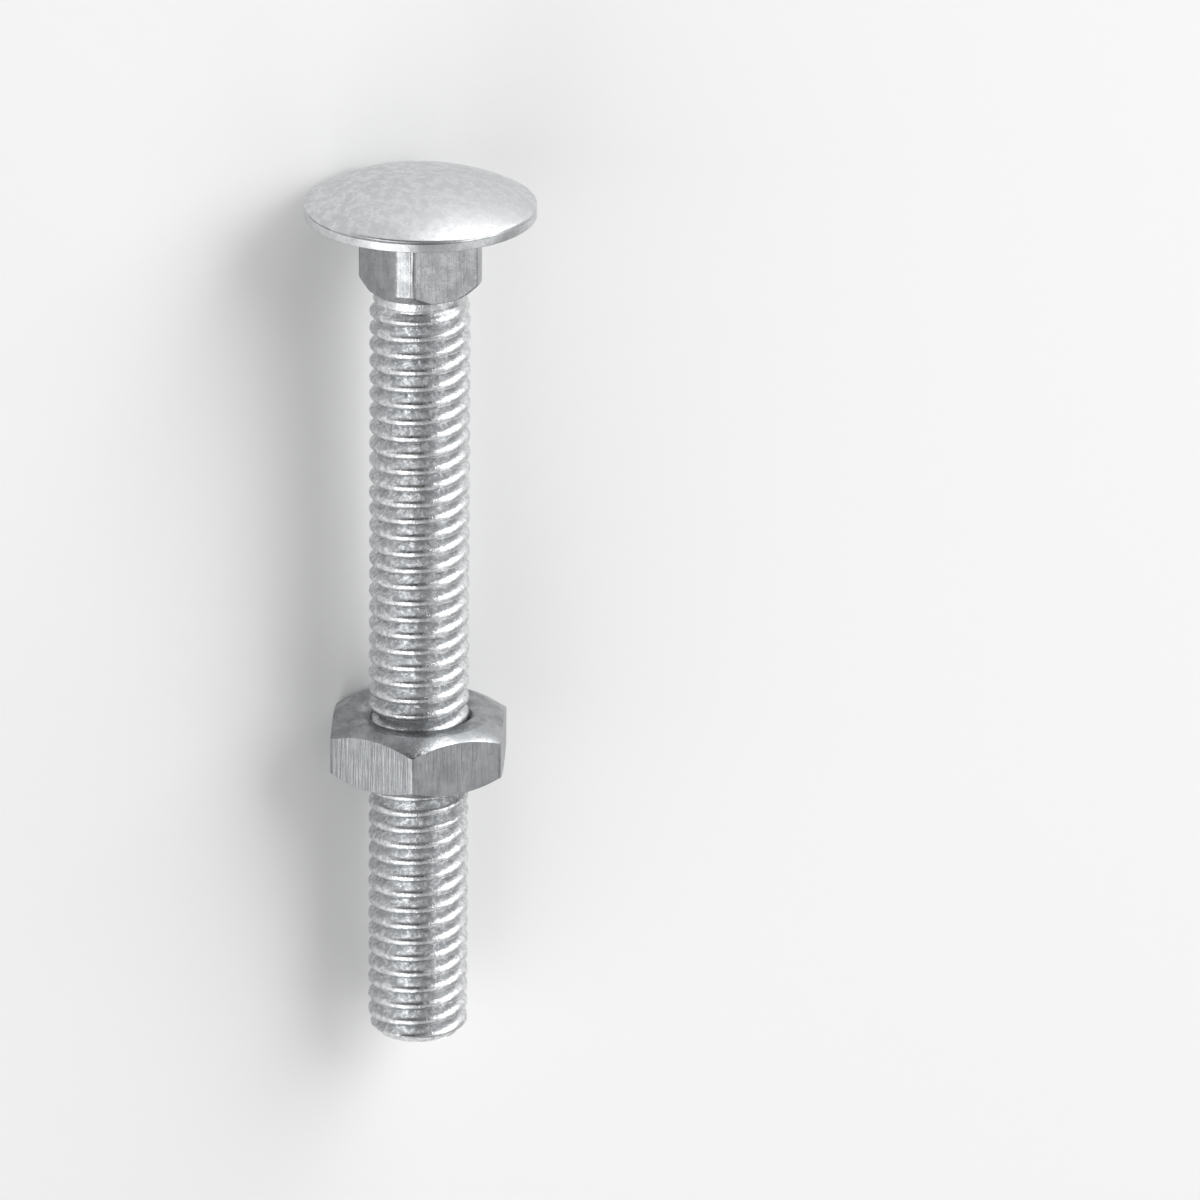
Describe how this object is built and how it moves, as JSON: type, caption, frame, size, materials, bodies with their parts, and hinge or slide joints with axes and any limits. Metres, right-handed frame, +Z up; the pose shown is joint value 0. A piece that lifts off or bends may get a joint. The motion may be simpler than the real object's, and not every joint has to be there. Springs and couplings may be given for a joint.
{
  "type": "carriage bolt with hex nut",
  "caption": "Cup-head square-neck bolt with a low domed head and a fully threaded M6 shank, lying on its side with a hexagon nut run part of the way up.",
  "frame": {"origin": "centre of the face under the head, on the bolt's axis", "axes": "+Z up from the surface that the bolt lies on; +X from the head to the tip, level, with the bolt's axis dropping from it by the rest tilt of 2.88 degrees; +Y to the left of someone looking from the head to the tip"},
  "size_m": [0.0525, 0.0132, 0.0132],
  "materials": {
    "plated_bolt": "bright zinc plate",
    "plated_nut": "bright zinc plate over drawn flats"
  },
  "bodies": {
    "bolt": {"carriage_bolt": "plated_bolt"},
    "nut": {"hex_nut": "plated_nut"}
  },
  "joints": [
    {"name": "nut_travel", "type": "slide", "parent": "bolt", "child": "nut", "axis": [0.9987, 0, -0.0503], "range_m": [-0.024, 0.016]}
  ]
}
